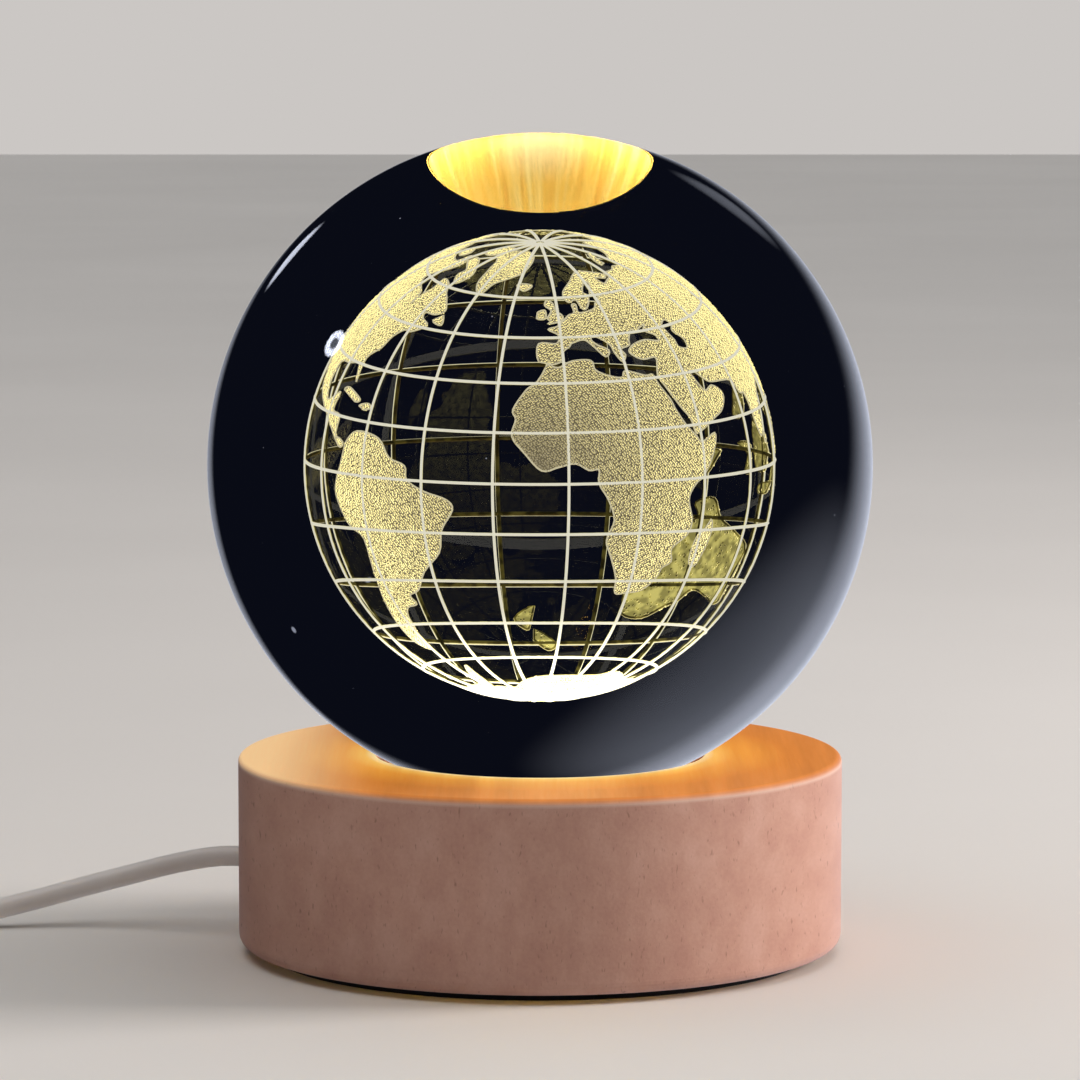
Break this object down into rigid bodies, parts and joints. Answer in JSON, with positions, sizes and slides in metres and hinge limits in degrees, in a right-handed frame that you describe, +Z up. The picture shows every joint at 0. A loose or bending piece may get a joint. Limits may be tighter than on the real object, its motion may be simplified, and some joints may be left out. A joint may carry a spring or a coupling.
{
  "type": "crystal globe lamp",
  "caption": "Solid crystal ball with an engraved globe inside, resting in a round lit beech base with a thin USB cord, inline push switch and plug.",
  "frame": {"origin": "middle of the anti-slip pad's rest face, on the table, under the ball's centre", "axes": "+Z up through the ball's centre; -Y towards the front of the globe; the cord leaves towards -X"},
  "size_m": [0.1617, 0.1015, 0.0989],
  "materials": {
    "crystal": "polished",
    "engraving": "matte",
    "silicone": "satin",
    "beech": "satin",
    "frosted_acrylic": "satin",
    "board": "matte",
    "led": "gloss",
    "resistor": "matte",
    "steel": "satin",
    "brass": "satin",
    "red_insulation": "gloss",
    "black_insulation": "gloss",
    "white_cord": "satin",
    "tie_nylon": "satin",
    "bush_rubber": "satin",
    "black_abs": "matte",
    "eva_foam": "matte",
    "white_abs": "gloss",
    "plated_button": "gloss",
    "plug_shell_steel": "satin",
    "tongue_plastic": "matte"
  },
  "bodies": {
    "stand": {"base_block": "beech", "light_window": "frosted_acrylic", "led_board": "board", "led_chips": "led", "chip_resistors": "resistor", "board_screws": "steel", "red_wire": "red_insulation", "black_wire": "black_insulation", "inner_cord": "white_cord", "cord_stop": "tie_nylon", "cord_bush": "bush_rubber", "bottom_cover": "black_abs", "cover_screws": "steel", "anti_slip_pad": "eva_foam", "cord_lead": "white_cord", "cord_coil": "white_cord", "cord_tail": "white_cord", "cord_end": "white_cord", "switch_lower_case": "white_abs", "switch_upper_case": "white_abs", "switch_spring": "brass", "switch_terminals": "brass", "switch_screws": "steel", "plug_body": "white_abs", "plug_shell": "plug_shell_steel", "plug_tongue": "tongue_plastic", "plug_contacts": "brass"},
    "seat": {"seat_ring": "silicone"},
    "globe": {"crystal_ball": "crystal", "engraved_parallels": "engraving", "engraved_meridians": "engraving", "engraved_land": "engraving"},
    "button": {"switch_button": "plated_button"}
  },
  "joints": [
    {"name": "globe_turn", "type": "hinge", "parent": "stand", "child": "seat", "pos_m": [0, 0, 0.0217], "axis": [0, 0, 1], "continuous": true},
    {"name": "globe_lift", "type": "slide", "parent": "seat", "child": "globe", "axis": [0, 0, 1], "range_m": [0, 0.05]},
    {"name": "button_press", "type": "slide", "parent": "stand", "child": "button", "axis": [0, 0, -1], "range_m": [0, 0.0012], "stiffness_N_per_m": 300}
  ]
}
